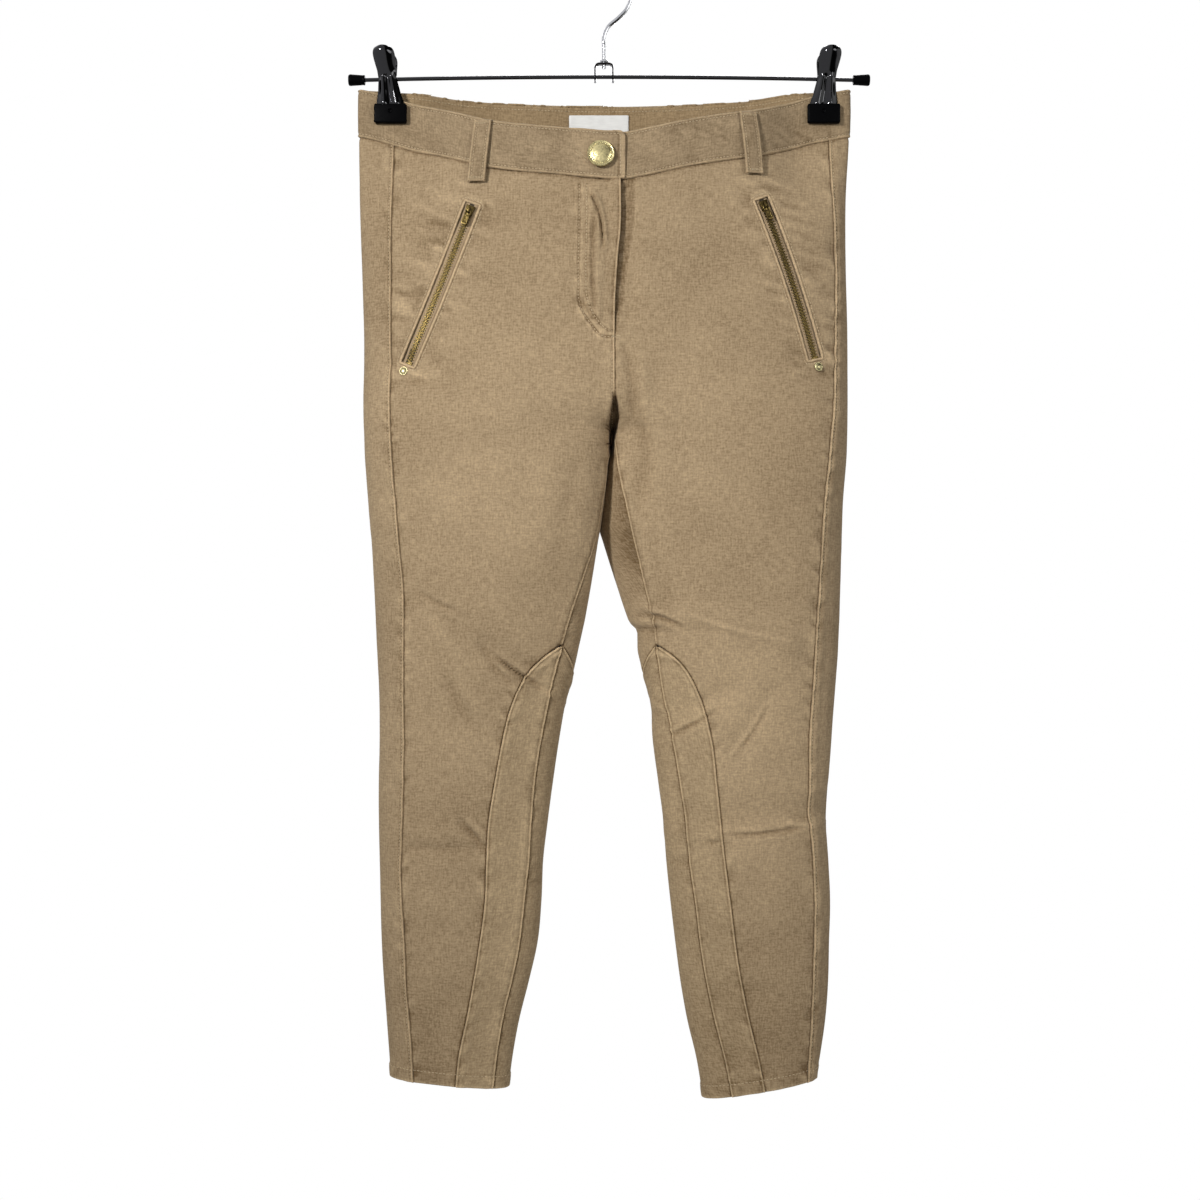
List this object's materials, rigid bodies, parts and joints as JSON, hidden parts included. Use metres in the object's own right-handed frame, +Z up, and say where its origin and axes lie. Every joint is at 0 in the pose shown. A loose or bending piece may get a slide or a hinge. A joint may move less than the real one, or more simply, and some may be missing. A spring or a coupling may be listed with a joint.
{
  "type": "jeans on clip hanger",
  "caption": "Cropped skinny jeans in tan stretch twill with slanted zip pockets and inner-leg insets, hung by the waistband from a metal clip hanger.",
  "frame": {"origin": "inside of the top of the hanger's hook, where a rail or wall hook carries it", "axes": "+X to the viewer's right (the wearer's left), +Y away from the viewer (the garment's front faces -Y), +Z up"},
  "size_m": [0.443, 0.1029, 0.9742],
  "materials": {
    "twill": "washed stretch cotton twill, matt",
    "zip_tape": "woven polyester tape",
    "satin": "woven satin label, soft sheen",
    "brass": "pale polished brass",
    "black_steel": "black nickel plated steel, glossy",
    "rubber": "black vinyl sleeve, semi matt",
    "chrome": "bright chrome plate"
  },
  "bodies": {
    "root": {"front_right": "twill", "front_inset_right": "twill", "back_right": "twill", "back_inset_right": "twill", "waistband_front_right": "twill", "zip_tape_right": "zip_tape", "zip_chain_right": "brass", "zip_slider_right": "brass", "front_left": "twill", "front_inset_left": "twill", "back_left": "twill", "back_inset_left": "twill", "waistband_front_left": "twill", "zip_tape_left": "zip_tape", "zip_chain_left": "brass", "zip_slider_left": "brass", "waistband_back": "twill", "belt_loop_front_right": "twill", "belt_loop_front_left": "twill", "belt_loop_back_right": "twill", "belt_loop_back_left": "twill", "belt_loop_centre_back": "twill", "waist_label": "satin", "fly_button": "brass", "pocket_rivet_right": "brass", "pocket_rivet_left": "brass", "hanger_rod": "black_steel", "rod_cap_right": "rubber", "rod_cap_left": "rubber", "hook": "chrome", "hook_bracket": "chrome", "hook_collar": "chrome", "clip_front_right": "black_steel", "clip_pad_front_right": "rubber", "clip_back_right": "black_steel", "clip_pad_back_right": "rubber", "clip_spring_right": "chrome", "clip_front_left": "black_steel", "clip_pad_front_left": "rubber", "clip_back_left": "black_steel", "clip_pad_back_left": "rubber", "clip_spring_left": "chrome"},
    "pull_right": {"zip_pull_right": "brass"},
    "pull_left": {"zip_pull_left": "brass"}
  },
  "joints": [
    {"name": "pull_right_hinge", "type": "hinge", "parent": "root", "child": "pull_right", "pos_m": [-0.11293, -0.03744, -0.22582], "axis": [-0.9308, 0.1307, 0.3413], "range_deg": [0, 150]},
    {"name": "pull_left_hinge", "type": "hinge", "parent": "root", "child": "pull_left", "pos_m": [0.13293, -0.03455, -0.22091], "axis": [-0.9103, -0.219, -0.3512], "range_deg": [0, 150]}
  ]
}
